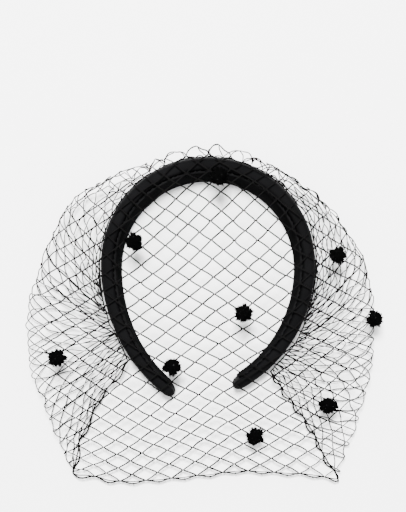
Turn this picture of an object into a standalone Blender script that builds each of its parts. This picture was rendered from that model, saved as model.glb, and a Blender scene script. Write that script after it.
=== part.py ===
"""Veil headband: a padded satin band with a lining ribbon, a diamond net veil and chenille dots.

The headband lies on the back edge of its band, open side towards -Y, with the veil's front facing +Z.
"""
import math

import bmesh
import bpy
import numpy as np
from mathutils import Matrix, Vector

MM = 0.001
LEFT, RIGHT = -1, 1

# Padded band, measured along its outer outline from the crown to each tip
CROWN_X = 3.6 * MM
CROWN_Y = 34.5 * MM
CROWN_RADIUS = 73.0 * MM
LEFT_ARM_RADIUS = 115.0 * MM
RIGHT_ARM_RADIUS = 98.6 * MM
ARM_RADIUS = {LEFT: LEFT_ARM_RADIUS, RIGHT: RIGHT_ARM_RADIUS}
HALF_LENGTH = 223.0 * MM
PAD_THICKNESS = 9.6 * MM
PAD_DEPTH = 36.0 * MM
PAD_LEAN = 5.6 * MM
TIP_ROUNDING = 6.0 * MM

# Ribbon on the band's inner face
LINING_THICKNESS = 1.0 * MM
FIT_GAP = 0.3 * MM

# Veil, a flat rectangle of net before it is gathered and folded forward
NET_BAR = 1.1 * MM
NET_WIDTH = 371.0 * MM
MIDDLE_DRIFT = 19.0 * MM
VEIL_OVERHANG = 53.2 * MM
VEIL_TAIL = 29.5 * MM
VEIL_LIFT = 2.6 * MM
CREST_RISE = 8.0 * MM
NET_SAG = 6.0 * MM
SEW_GAP = 0.55 * MM
COARSE_COLUMNS = 8
COARSE_ROWS = 6
BEND_TOLERANCE = 0.3 * MM
BEND_SAMPLES = 24

# Step in net coordinates for the directions of the net's surface
PROBE = 0.004

# Times that a knot's corner is drawn in until it stands at its own distance from the knot
CORNER_PASSES = 3

# Chenille dots
DOT_DIAMETER = 10.8 * MM
DOT_HEIGHT = 8.4 * MM
DOT_SEGMENTS = 14
DOT_RINGS = 8

# Band sections: place from crown to tip, then thickness, depth and lean as shares of the sizes above
BAND_SECTIONS = (
    (0.00, 1.00, 1.00, 1.00),
    (0.25, 0.98, 0.99, 0.85),
    (0.52, 0.95, 0.92, 0.60),
    (0.70, 0.92, 0.76, 0.40),
    (0.85, 0.84, 0.60, 0.30),
    (1.00, 0.78, 0.46, 0.25),
)
SECTION_POINTS = 22
OUTER_SQUARENESS = 2.5
INNER_SQUARENESS = 7.0
BACK_FLAT = 0.02
BAND_STATIONS = 24

# Gathers: from and to, as places along the band from crown to tip
GATHERS = {LEFT: (0.59, 0.81), RIGHT: (0.62, 0.875)}
SEW_HEIGHT = 0.60

# Veil rows, from the sewn edge to the hem: row, cell pitch, crest and height at the middle, left and right sag
VEIL_ROWS = (
    (0.00, 0.846, 0.00, 0.56, 0.00, 0.00),
    (0.06, 0.846, 0.00, 0.76, 0.00, 0.00),
    (0.08, 0.846, 0.30, 0.88, 0.00, 0.00),
    (0.10, 0.846, 0.30, 0.96, 0.00, 0.00),
    (0.12, 0.846, 0.40, 0.98, 0.00, 0.00),
    (0.16, 0.846, 0.05, 0.97, 0.50, -0.20),
    (0.22, 0.846, -0.10, 0.93, 0.95, -0.30),
    (0.32, 0.865, -0.35, 0.86, 0.85, 0.10),
    (0.44, 0.925, -0.45, 0.81, 0.70, 0.10),
    (0.56, 0.980, -0.25, 0.77, 0.70, 0.30),
    (0.68, 0.970, -0.30, 0.69, 0.85, 0.45),
    (0.80, 0.968, 0.05, 0.51, 0.80, 0.48),
    (0.90, 0.985, 0.30, 0.32, 0.68, 0.28),
    (1.00, 1.000, 0.33, 0.16, 0.75, 0.00),
)
LOOP_ROW = VEIL_ROWS[1][0]

# Folds: row, place along the band, reach as shares of the overhang and of the tail, height, bend
FOLDS = {
    LEFT: (
        (LOOP_ROW, 0.000, 0.112, 0.00, 0.76, 0.23),
        (0.08, 0.065, 0.097, 0.00, 0.76, 0.23),
        (0.10, 0.123, 0.096, 0.00, 0.75, 0.23),
        (0.12, 0.175, 0.100, 0.00, 0.73, 0.23),
        (0.16, 0.255, 0.234, 0.00, 0.64, 0.26),
        (0.22, 0.338, 0.468, 0.00, 0.50, 0.29),
        (0.32, 0.440, 0.621, 0.00, 0.44, 0.32),
        (0.44, 0.544, 0.815, 0.00, 0.40, 0.32),
        (0.56, 0.641, 1.000, 0.07, 0.37, 0.31),
        (0.68, 0.730, 1.000, 0.30, 0.33, 0.27),
        (0.80, 0.826, 1.000, 0.54, 0.26, 0.21),
        (0.90, 0.888, 1.000, 0.76, 0.19, 0.14),
        (1.00, 0.935, 1.000, 0.94, 0.12, 0.07),
    ),
    RIGHT: (
        (LOOP_ROW, 0.000, 0.112, 0.00, 0.76, 0.23),
        (0.08, 0.067, 0.093, 0.00, 0.76, 0.23),
        (0.10, 0.115, 0.082, 0.00, 0.75, 0.23),
        (0.12, 0.159, 0.074, 0.00, 0.73, 0.23),
        (0.16, 0.222, 0.125, 0.00, 0.64, 0.26),
        (0.22, 0.308, 0.222, 0.00, 0.50, 0.29),
        (0.32, 0.424, 0.407, 0.00, 0.44, 0.32),
        (0.44, 0.529, 0.652, 0.00, 0.40, 0.32),
        (0.56, 0.624, 0.826, 0.00, 0.37, 0.31),
        (0.68, 0.697, 0.973, 0.00, 0.33, 0.27),
        (0.80, 0.782, 1.000, 0.29, 0.26, 0.21),
        (0.90, 0.853, 1.000, 0.63, 0.19, 0.14),
        (1.00, 0.914, 1.000, 1.16, 0.12, 0.07),
    ),
}
GATHER_SPREAD = 0.5
DRAPE_SLOPE = 0.42
DRAPE_SOFTNESS = 1.6 * MM

# Dots: share across the net from its left end, and row
DOTS = (
    (0.520, 0.177),
    (0.338, 0.327),
    (0.747, 0.390),
    (0.785, 0.563),
    (0.552, 0.524),
    (0.199, 0.634),
    (0.410, 0.660),
    (0.693, 0.792),
    (0.548, 0.874),
)


def column(table, index, place, key=0):
    """Smooth value of one column of a table, looked up by a place in its key column."""
    places = [entry[key] for entry in table]
    values = [entry[index] for entry in table]
    slopes = np.gradient(values, places)
    step = min(max(int(np.searchsorted(places, place)) - 1, 0), len(places) - 2)
    width = places[step + 1] - places[step]
    part = min(max((place - places[step]) / width, 0.0), 1.0)
    rise = part * part * (3.0 - 2.0 * part)
    lead = part * (1.0 - part) ** 2
    tail = part * part * (part - 1.0)
    smooth = values[step] + (values[step + 1] - values[step]) * rise
    return smooth + width * (lead * slopes[step] + tail * slopes[step + 1])


def beside_band(side, along, standoff):
    """Point beside the outer outline: along it from the crown, and standing off outwards."""
    quarter = CROWN_RADIUS * math.pi / 2
    if along <= quarter:
        angle = along / CROWN_RADIUS
        reach = CROWN_RADIUS + standoff
        return CROWN_X + side * reach * math.sin(angle), CROWN_Y + reach * math.cos(angle)
    radius = ARM_RADIUS[side]
    angle = (along - quarter) / radius
    across = (radius + standoff) * math.cos(angle) - (radius - CROWN_RADIUS)
    return CROWN_X + side * across, CROWN_Y - (radius + standoff) * math.sin(angle)


def outward(side, along):
    """Direction that stands square off the outer outline at a place along it."""
    quarter = CROWN_RADIUS * math.pi / 2
    angle = along / CROWN_RADIUS
    if along > quarter:
        angle = math.pi / 2 + (along - quarter) / ARM_RADIUS[side]
    return side * math.sin(angle), math.cos(angle)


def from_band(x, y):
    """Side, place along and standoff of a point, the inverse of beside_band."""
    side = LEFT if x < CROWN_X else RIGHT
    across = abs(x - CROWN_X)
    down = CROWN_Y - y
    if down <= 0:
        return side, CROWN_RADIUS * math.atan2(across, -down), math.hypot(across, down) - CROWN_RADIUS
    radius = ARM_RADIUS[side]
    shifted = across + radius - CROWN_RADIUS
    along = CROWN_RADIUS * math.pi / 2 + radius * math.atan2(down, shifted)
    return side, along, math.hypot(shifted, down) - radius


def pad_depth(along):
    """Depth of the band from back to front at a place along it."""
    return PAD_DEPTH * column(BAND_SECTIONS, 2, min(along / HALF_LENGTH, 1.0))


def drape_height(x, y):
    """Height at which the net lies over the band's front edge, sloping away on both sides."""
    _, along, standoff = from_band(x, y)
    thickness = PAD_THICKNESS * column(BAND_SECTIONS, 1, min(along / HALF_LENGTH, 1.0))
    beside = max(0.0, standoff, -thickness - standoff)
    beyond = max(0.0, along - HALF_LENGTH)
    return pad_depth(along) + VEIL_LIFT - DRAPE_SLOPE * math.hypot(beside, beyond)


def soft_max(low, high):
    """The larger of two heights, with a rounded change from one to the other."""
    lead = (high - low) / DRAPE_SOFTNESS
    return low + DRAPE_SOFTNESS * math.log1p(math.exp(min(lead, 60.0)))


def bend_travel(travel, bend):
    """Plan distance and rise after some travel round a fold of this radius."""
    if travel >= bend * math.pi / 2:
        return bend + travel - bend * math.pi / 2, bend
    return bend * (1.0 - math.cos(travel / bend)), bend * math.sin(travel / bend)


def fold_beside(side, along):
    """Standoff, height and bend radius of the fold beside a place along the band."""
    table = FOLDS[side]
    place = along / HALF_LENGTH
    reach = VEIL_OVERHANG * column(table, 2, place, key=1) + VEIL_TAIL * column(table, 3, place, key=1)
    height = PAD_DEPTH + VEIL_LIFT
    return (
        SEW_GAP + NET_BAR / 2 + reach,
        height * column(table, 4, place, key=1),
        height * column(table, 5, place, key=1),
    )


def front_point(side, ends, row, fold_along, fold_share):
    """Point of the front layer, on a level row between the fold and the net's middle."""
    crossings = []
    for each in (LEFT, RIGHT):
        along = HALF_LENGTH * column(FOLDS[each], 1, row)
        crossings.append(beside_band(each, along, fold_beside(each, along)[0]))
    fold_x, fold_y = crossings[0] if side == LEFT else crossings[1]
    middle_x = CROWN_X + MIDDLE_DRIFT * row ** 2
    middle_y = (crossings[0][1] + crossings[1][1]) / 2 + CREST_RISE * column(VEIL_ROWS, 2, row)
    bend = fold_beside(side, fold_along)[2] * abs(outward(side, fold_along)[0])
    half = abs(middle_x - fold_x)
    travel = (half + (math.pi / 2 - 1.0) * bend) * (ends - fold_share) / (0.5 - fold_share)
    part = min(bend_travel(travel, bend)[0] / half, 1.0)
    x = fold_x + (middle_x - fold_x) * part
    sag = NET_SAG * column(VEIL_ROWS, 4 if side == LEFT else 5, row)
    y = fold_y + (middle_y - fold_y) * math.sin(part * math.pi / 2) - sag * math.sin(part * math.pi)

    _, along, standoff = from_band(x, y)
    edge_off, edge_z, edge_bend = fold_beside(side, min(along, HALF_LENGTH))
    inside = max(edge_bend - max(edge_off - standoff, 0.0), 0.0)
    rise = math.sqrt(edge_bend ** 2 - inside ** 2)
    middle_z = (PAD_DEPTH + VEIL_LIFT) * column(VEIL_ROWS, 3, row)
    z = edge_z + rise + (middle_z - edge_z - edge_bend) * (1.0 - (1.0 - part) ** 2)
    draped = soft_max(z, drape_height(x, y))
    return Vector((x, y, z + (draped - z) * rise / edge_bend))


def back_point(side, across, row, fold_along):
    """Point of the back layer: across it from the gather to the fold, on a row that fans out."""
    start, end = GATHERS[side]
    sewn_along = HALF_LENGTH * (start + (end - start) * row)
    along = sewn_along + (fold_along - sewn_along) * across
    fold_off, fold_z, bend = fold_beside(side, along)
    fan = 1.0 + 2.0 * max(0.0, 1.0 - row / GATHER_SPREAD)
    reached = row / column(FOLDS[side], 0, along / HALF_LENGTH, key=1)
    out = min(reached * (1.0 - (1.0 - across) ** fan), 1.0)
    sewn_off = SEW_GAP + NET_BAR / 2
    depth = fold_off - sewn_off
    bend = min(bend, 0.8 * depth)
    plan, rise = bend_travel((depth + (math.pi / 2 - 1.0) * bend) * (1.0 - out), bend)
    x, y = beside_band(side, along, fold_off - plan)
    low = fold_z - bend
    return Vector((x, y, low + (SEW_HEIGHT * pad_depth(along) - low) * (1.0 - out) ** 2 + bend - rise))


def veil_point(share, row):
    """Point of the veil: share across it from its left end to its right, row from sewn edge to hem."""
    side = LEFT if share < 0.5 else RIGHT
    ends = min(share, 1.0 - share)
    if row <= LOOP_ROW:
        return back_point(side, ends / 0.5, row, 0.0)
    fold_along = HALF_LENGTH * column(FOLDS[side], 1, row)
    fold_off, _, bend = fold_beside(side, fold_along)
    middle_x = CROWN_X + MIDDLE_DRIFT * row ** 2
    half = abs(middle_x - beside_band(side, fold_along, fold_off)[0])
    spare = (math.pi / 2 - 1.0) * bend * abs(outward(side, fold_along)[0])
    fold_share = 0.5 - (half + spare) / (NET_WIDTH * column(VEIL_ROWS, 1, row))
    if ends >= fold_share:
        return front_point(side, ends, row, fold_along, fold_share)
    return back_point(side, ends / fold_share, row, fold_along)


def material(name, colour, roughness):
    """Plain finish of one sub-part."""
    finish = bpy.data.materials.new(name)
    finish.use_nodes = True
    shader = finish.node_tree.nodes["Principled BSDF"]
    shader.inputs["Base Color"].default_value = (*colour, 1.0)
    shader.inputs["Roughness"].default_value = roughness
    shader.inputs["Metallic"].default_value = 0.0
    return finish


def add_object(name, mesh, finish):
    """Put a mesh in the headband's collection as a smooth-shaded object."""
    piece = bpy.data.objects.new(name, mesh)
    mesh.materials.append(finish)
    mesh.shade_smooth()
    headband.objects.link(piece)
    return piece


def loft(name, sections, finish):
    """Closed solid through like rings of points, with a fan at each end."""
    shell = bmesh.new()
    rings = [[shell.verts.new(point) for point in ring] for ring in sections]
    count = len(rings[0])
    for first, second in zip(rings, rings[1:]):
        for k in range(count):
            turn = (k + 1) % count
            shell.faces.new((first[k], first[turn], second[turn], second[k]))
    for ring in (rings[0], rings[-1]):
        middle = shell.verts.new(sum((v.co for v in ring), Vector()) / count)
        for k in range(count):
            shell.faces.new((ring[k], ring[(k + 1) % count], middle))
    bmesh.ops.recalc_face_normals(shell, faces=shell.faces)
    mesh = bpy.data.meshes.new(name)
    shell.to_mesh(mesh)
    shell.free()
    return add_object(name, mesh, finish)


def squared(value, squareness):
    """One coordinate of a rounded square, from a sine or cosine."""
    return math.copysign(abs(value) ** (2.0 / squareness), value)


def pad_section():
    """Rounded section of the pad: across from inner face 0 to outer 1, and up from back 0 to front 1."""
    points = []
    for k in range(SECTION_POINTS):
        angle = 2 * math.pi * (k + 0.5) / SECTION_POINTS
        squareness = OUTER_SQUARENESS if math.cos(angle) > 0 else INNER_SQUARENESS
        across = 0.5 + 0.5 * squared(math.cos(angle), squareness)
        up = 0.5 + 0.5 * squared(math.sin(angle), squareness)
        points.append((across, max(up - BACK_FLAT, 0.0) / (1.0 - BACK_FLAT)))
    return points


def band_stations(inset):
    """Side, place along the band and end rounding of each section, from left tip to right tip."""
    reach = HALF_LENGTH - inset
    stations = []
    for side in (LEFT, RIGHT):
        body = [(side, (reach - TIP_ROUNDING) * k / BAND_STATIONS, 1.0) for k in range(BAND_STATIONS + 1)]
        ends = []
        for turn in (0.35, 0.65, 0.85, 0.97):
            ends.append((side, reach - TIP_ROUNDING * (1.0 - turn), math.sqrt(1.0 - turn * turn)))
        stations.append(body + ends)
    left, right = stations
    return left[::-1] + right[1:]


def band_ring(side, along, rounding, profile, thickness, inset):
    """Ring of a section: profile points across the band, inwards from inset, and up from its back."""
    place = along / HALF_LENGTH
    depth = pad_depth(along)
    lean = PAD_LEAN * column(BAND_SECTIONS, 3, place)
    ring = []
    for across, up in profile:
        inward = inset + thickness * (0.5 + (0.5 - across) * rounding)
        inward += lean * (1.0 - up) * (1.0 - across if inset == 0 else 1.0)
        x, y = beside_band(side, along, -inward)
        ring.append(Vector((x, y, depth * (0.5 + (up - 0.5) * rounding))))
    return ring


def build_band(finish):
    """The padded horseshoe: domed outside, flatter inside, flat along its back edge."""
    profile = pad_section()
    rings = []
    for side, along, rounding in band_stations(0.0):
        thickness = PAD_THICKNESS * column(BAND_SECTIONS, 1, along / HALF_LENGTH)
        rings.append(band_ring(side, along, rounding, profile, thickness, 0.0))
    return loft("padded_band", rings, finish)


def build_lining(finish):
    """The ribbon inside the band, just clear of its inner face and short of its edges."""
    profile = ((0.0, 0.09), (0.0, 0.5), (0.0, 0.91), (1.0, 0.91), (1.0, 0.5), (1.0, 0.09))
    rings = []
    for side, along, rounding in band_stations(TIP_ROUNDING):
        thickness = PAD_THICKNESS * column(BAND_SECTIONS, 1, along / HALF_LENGTH)
        rings.append(band_ring(side, along, rounding, profile, LINING_THICKNESS, thickness + FIT_GAP))
    return loft("lining_ribbon", rings, finish)


def coarse_knots():
    """Net coordinates of the coarse net's knots, each dot drawing the nearest knot to itself."""
    knots = {}
    for i in range(2 * COARSE_COLUMNS + 1):
        for j in range(2 * COARSE_ROWS + 1):
            if (i + j) % 2 == 0:
                knots[i, j] = (i / (2 * COARSE_COLUMNS), j / (2 * COARSE_ROWS))
    free = [k for k in knots if 0 < k[0] < 2 * COARSE_COLUMNS and 0 < k[1] < 2 * COARSE_ROWS]
    for share, row in DOTS:
        nearest = min(free, key=lambda k: math.hypot(knots[k][0] - share, knots[k][1] - row))
        free.remove(nearest)
        knots[nearest] = (share, row)
    return knots


def knot_outline(place, ways):
    """Net coordinates of a flat knot's corners, one between each two bars that leave it.

    ways are the bars' directions as whole steps across and down the net, in turning order.
    """
    share, row = place
    inner = min(max(share, PROBE), 1.0 - PROBE)
    lower = min(max(row, PROBE), 1.0 - PROBE)
    level = [veil_point(inner + step * PROBE, row) for step in (-1, 0, 1)]
    fall = [veil_point(share, lower + step * PROBE) for step in (-1, 0, 1)]
    across, down = (
        ((line[1] - line[0]).length + (line[2] - line[1]).length) / (2 * PROBE) for line in (level, fall)
    )

    def corner(direction, reach):
        step = direction.normalized() * reach
        offset = Vector((step.x / across, step.y / down))
        for _ in range(CORNER_PASSES):
            offset *= reach / (veil_point(share + offset.x, row + offset.y) - veil_point(share, row)).length
        return share + offset.x, row + offset.y

    corners = []
    for way, turn in zip(ways, ways[1:] + ways[:1]):
        first, second = Vector(way).normalized(), Vector(turn).normalized()
        opening = math.atan2(first.cross(second), first.dot(second)) % (2 * math.pi)
        if opening < math.pi - PROBE:
            corners.append([corner(first + second, NET_BAR / 2 / math.sin(opening / 2))])
        elif opening > math.pi + PROBE:
            corners.append([corner(first, NET_BAR), (share, row), corner(second, NET_BAR)])
        else:
            corners.append([corner(first, NET_BAR), corner(second, NET_BAR)])
    return corners


def blend(start, end, part):
    """Net coordinates part of the way from one to another."""
    return [low + (high - low) * part for low, high in zip(start, end)]


def bend_parts(start, end):
    """Parts of a bar, between two net coordinates, that let it follow the net's bends."""
    points = []
    for k in range(BEND_SAMPLES + 1):
        points.append(veil_point(*blend(start, end, k / BEND_SAMPLES)))

    def corners(low, high):
        if high - low < 2:
            return []
        chord = (points[high] - points[low]).normalized()
        strays = [(points[k] - points[low]).cross(chord).length for k in range(low + 1, high)]
        if max(strays) < BEND_TOLERANCE:
            return []
        worst = low + 1 + strays.index(max(strays))
        return corners(low, worst) + [worst] + corners(worst, high)

    return [k / BEND_SAMPLES for k in corners(0, BEND_SAMPLES)] or [0.5]


def build_net(finish):
    """The veil as a coarse net of flat bars that meet in knots, thickened to its bars' size."""
    knots = coarse_knots()
    across, down = 2 * COARSE_COLUMNS, 2 * COARSE_ROWS
    sheet = bmesh.new()

    def ways_from(i, j):
        ways = [(1, 1), (-1, 1), (-1, -1), (1, -1)]
        if j in (0, down):
            ways += [(2, 0), (-2, 0)]
        if i in (0, across):
            ways += [(0, 2), (0, -2)]
        ways = [way for way in ways if (i + way[0], j + way[1]) in knots]
        return sorted(ways, key=lambda way: math.atan2(way[1], way[0]))

    ports = {}
    for key, place in knots.items():
        ways = ways_from(*key)
        groups = knot_outline(place, ways)
        rings = [[(corner, sheet.verts.new(veil_point(*corner))) for corner in group] for group in groups]
        sheet.faces.new([vert for ring in rings for _, vert in ring])
        for k, way in enumerate(ways):
            ports[key, way] = (rings[k - 1][-1], rings[k][0])

    def rail(first, second, parts):
        (start, start_vert), (end, end_vert) = first, second
        verts = [sheet.verts.new(veil_point(*blend(start, end, part))) for part in parts]
        return [start_vert] + verts + [end_vert]

    for (key, way), (before, after) in ports.items():
        other = (key[0] + way[0], key[1] + way[1])
        if other < key:
            continue
        back = (-way[0], -way[1])
        far_before, far_after = ports[other, back]
        parts = bend_parts(knots[key], knots[other])
        one = rail(before, far_after, parts)
        two = rail(after, far_before, parts)
        for k in range(len(parts) + 1):
            sheet.faces.new((one[k], one[k + 1], two[k + 1], two[k]))

    bmesh.ops.recalc_face_normals(sheet, faces=sheet.faces)
    mesh = bpy.data.meshes.new("veil_net")
    sheet.to_mesh(mesh)
    sheet.free()
    net = add_object("veil_net", mesh, finish)
    bars = net.modifiers.new("bars", "SOLIDIFY")
    bars.thickness = NET_BAR
    bars.offset = 0.0
    return net


def build_dots(finish):
    """Chenille dots, each seated on the front of its knot."""
    for number, (share, row) in enumerate(DOTS, 1):
        seat = veil_point(share, row)
        across = veil_point(share + PROBE, row) - veil_point(share - PROBE, row)
        down = veil_point(share, row + PROBE) - veil_point(share, row - PROBE)
        outward = down.cross(across).normalized()
        ball = bmesh.new()
        bmesh.ops.create_uvsphere(ball, u_segments=DOT_SEGMENTS, v_segments=DOT_RINGS, radius=0.5)
        bmesh.ops.scale(ball, vec=(DOT_DIAMETER, DOT_DIAMETER, DOT_HEIGHT), verts=ball.verts)
        mesh = bpy.data.meshes.new(f"dot_{number:02d}")
        ball.to_mesh(mesh)
        ball.free()
        dot = add_object(mesh.name, mesh, finish)
        lift = NET_BAR / 2 + FIT_GAP + DOT_HEIGHT / 2
        turn = outward.to_track_quat("Z", "Y").to_matrix().to_4x4()
        dot.matrix_world = Matrix.Translation(seat + outward * lift) @ turn


for old in list(bpy.data.objects):
    bpy.data.objects.remove(old, do_unlink=True)
headband = bpy.data.collections.new("veil_headband")
bpy.context.scene.collection.children.link(headband)

build_band(material("band_satin", (0.010, 0.010, 0.011), 0.55))
build_lining(material("lining_satin", (0.012, 0.012, 0.013), 0.50))
build_net(material("veil_thread", (0.018, 0.017, 0.017), 0.60))
build_dots(material("chenille", (0.006, 0.006, 0.006), 0.95))
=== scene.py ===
"""Veil headband, dressed: satin over padding, a lining ribbon, fine knotted net and fuzzy chenille dots."""
import bisect
import functools
import math
import random

import bpy
import numpy as np
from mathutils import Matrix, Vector, noise


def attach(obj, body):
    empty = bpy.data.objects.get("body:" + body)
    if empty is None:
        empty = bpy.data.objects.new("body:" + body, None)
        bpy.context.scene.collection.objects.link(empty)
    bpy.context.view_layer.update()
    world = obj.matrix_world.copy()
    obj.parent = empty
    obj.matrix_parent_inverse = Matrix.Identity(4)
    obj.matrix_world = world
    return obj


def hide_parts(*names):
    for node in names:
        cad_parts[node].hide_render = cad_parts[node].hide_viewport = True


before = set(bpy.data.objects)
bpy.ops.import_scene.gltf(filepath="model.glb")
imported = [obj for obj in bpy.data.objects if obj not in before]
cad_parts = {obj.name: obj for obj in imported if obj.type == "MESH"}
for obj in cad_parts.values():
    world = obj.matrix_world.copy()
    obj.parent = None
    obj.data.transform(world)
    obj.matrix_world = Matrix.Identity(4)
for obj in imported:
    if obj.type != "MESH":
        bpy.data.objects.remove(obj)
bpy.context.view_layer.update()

# Padded band: a horseshoe of firm foam, about 10 mm thick and 36 mm deep at its crown, narrowing to two
# rounded tips. Black ribbed satin is drawn tight round the foam and closed in a seam along its inner front
# edge, where it puckers a little.
MM = 0.001
LEFT, RIGHT = -1, 1
CROWN_X = 3.6 * MM
CROWN_Y = 34.5 * MM
CROWN_RADIUS = 73.0 * MM
LEFT_ARM_RADIUS = 115.0 * MM
RIGHT_ARM_RADIUS = 98.6 * MM
ARM_RADIUS = {LEFT: LEFT_ARM_RADIUS, RIGHT: RIGHT_ARM_RADIUS}
HALF_LENGTH = 223.0 * MM
PAD_THICKNESS = 9.6 * MM
PAD_DEPTH = 36.0 * MM
PAD_LEAN = 5.6 * MM
TIP_ROUNDING = 6.0 * MM
# Place from crown to tip, then thickness, depth and lean as shares of the pad's sizes
BAND_SECTIONS = (
    (0.00, 1.00, 1.00, 1.00),
    (0.25, 0.98, 0.99, 0.85),
    (0.52, 0.95, 0.92, 0.60),
    (0.70, 0.92, 0.76, 0.40),
    (0.85, 0.84, 0.60, 0.30),
    (1.00, 0.78, 0.46, 0.25),
)
SATIN_STATIONS = 170
SATIN_AROUND = 68
OUTER_SQUARENESS = 2.5
INNER_SQUARENESS = 7.0
BACK_FLAT = 0.02
TIP_TURNS = (0.18, 0.36, 0.52, 0.66, 0.78, 0.87, 0.94, 0.985)
PUCKER_DEPTH = 0.22 * MM
PUCKER_SHARE = 0.6
PUCKER_REACH = 4.5 * MM
PUCKER_PITCH = 3.4 * MM
PUCKER_SLANT = 0.05
PAD_UNEVENNESS = 0.16 * MM
PAD_SWELL_SCALE = 70.0
STILL_BACK = 0.5 * MM
CRUMPLE_SEED = 3
SATIN_RIB = 0.62 * MM
SATIN_BLACK = (0.0012, 0.0012, 0.0013, 1.0)
SATIN_WORN = (0.0032, 0.0032, 0.0034, 1.0)
SATIN_ROUGHNESS = 0.50
SATIN_GLOSS = 0.003
SATIN_RELIEF = 0.12 * MM
# Scale at which a wave's bands lie one metre apart
BAND_SCALE = math.pi / 10.0
RIB_WANDER = {"Distortion": 0.6, "Detail": 2.0, "Detail Scale": 60.0}
RIB_LIGHT = 0.35
RIB_HEIGHT = 0.5
SLUB_NOISE = {"Scale": 900.0, "Detail": 3.0}
SLUB_LIGHT = 0.35
SLUB_HEIGHT = 0.35
SLUB_DULLNESS = 0.06
CREASE_NOISE = {"Scale": 70.0, "Detail": 4.0, "Roughness": 0.6}
CREASE_HEIGHT = 1.6
PATCH_NOISE = {"Scale": 28.0, "Detail": 2.0}
PATCH_RANGE = (0.35, 0.7)
PATCH_LIGHT = 0.5
PATCH_DULLNESS = 0.12
EVEN_SHINE = 0.08
# Columns of the table of sections
THICKNESS, DEPTH, LEAN = 1, 2, 3


@functools.lru_cache(maxsize=None)
def table_curve(table, index, key):
    """Places, values and slopes of one column of a table against its key column."""
    places = [entry[key] for entry in table]
    values = [entry[index] for entry in table]
    return places, values, np.gradient(values, places).tolist()


def column(table, index, place, key=0):
    """Smooth value of one column of a table, looked up by a place in its key column."""
    places, values, slopes = table_curve(table, index, key)
    step = min(max(bisect.bisect_left(places, place) - 1, 0), len(places) - 2)
    width = places[step + 1] - places[step]
    part = min(max((place - places[step]) / width, 0.0), 1.0)
    rise = part * part * (3.0 - 2.0 * part)
    lead = part * (1.0 - part) ** 2
    tail = part * part * (part - 1.0)
    smooth = values[step] + (values[step + 1] - values[step]) * rise
    return smooth + width * (lead * slopes[step] + tail * slopes[step + 1])


def beside_band(side, along, standoff):
    """Point beside the outer outline: along it from the crown, and standing off outwards."""
    quarter = CROWN_RADIUS * math.pi / 2
    if along <= quarter:
        angle = along / CROWN_RADIUS
        reach = CROWN_RADIUS + standoff
        return CROWN_X + side * reach * math.sin(angle), CROWN_Y + reach * math.cos(angle)
    radius = ARM_RADIUS[side]
    angle = (along - quarter) / radius
    across = (radius + standoff) * math.cos(angle) - (radius - CROWN_RADIUS)
    return CROWN_X + side * across, CROWN_Y - (radius + standoff) * math.sin(angle)


def pad_depth(along):
    """Depth of the band from back to front at a place along it."""
    return PAD_DEPTH * column(BAND_SECTIONS, DEPTH, min(along / HALF_LENGTH, 1.0))


def pad_thickness(along):
    """Thickness of the band from its inner face to its outer at a place along it."""
    return PAD_THICKNESS * column(BAND_SECTIONS, THICKNESS, min(along / HALF_LENGTH, 1.0))


def squared(value, squareness):
    """One coordinate of a rounded square, from a sine or cosine."""
    return math.copysign(abs(value) ** (2.0 / squareness), value)


def pad_section(count):
    """Rounded section of the pad: across from inner face 0 to outer 1, and up from back 0 to front 1."""
    points = []
    for k in range(count):
        angle = 2 * math.pi * (k + 0.5) / count
        squareness = OUTER_SQUARENESS if math.cos(angle) > 0 else INNER_SQUARENESS
        across = 0.5 + 0.5 * squared(math.cos(angle), squareness)
        up = 0.5 + 0.5 * squared(math.sin(angle), squareness)
        points.append((across, max(up - BACK_FLAT, 0.0) / (1.0 - BACK_FLAT)))
    return points


def band_stations(inset, count):
    """Side, place along the band and end rounding of each section, from left tip to right tip."""
    reach = HALF_LENGTH - inset
    arms = []
    for side in (LEFT, RIGHT):
        arm = [(side, (reach - TIP_ROUNDING) * k / count, 1.0) for k in range(count + 1)]
        for turn in TIP_TURNS:
            arm.append((side, reach - TIP_ROUNDING * (1.0 - turn), math.sqrt(1.0 - turn * turn)))
        arms.append(arm)
    left, right = arms
    return left[::-1] + right[1:]


def band_ring(side, along, rounding, profile, thickness, inset):
    """Ring of a section: profile points across the band, inwards from inset, and up from its back."""
    depth = pad_depth(along)
    lean = PAD_LEAN * column(BAND_SECTIONS, LEAN, along / HALF_LENGTH)
    ring = []
    for across, up in profile:
        inward = inset + thickness * (0.5 + (0.5 - across) * rounding)
        inward += lean * (1.0 - up) * (1.0 - across if inset == 0 else 1.0)
        x, y = beside_band(side, along, -inward)
        ring.append(Vector((x, y, depth * (0.5 + (up - 0.5) * rounding))))
    return ring


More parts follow.
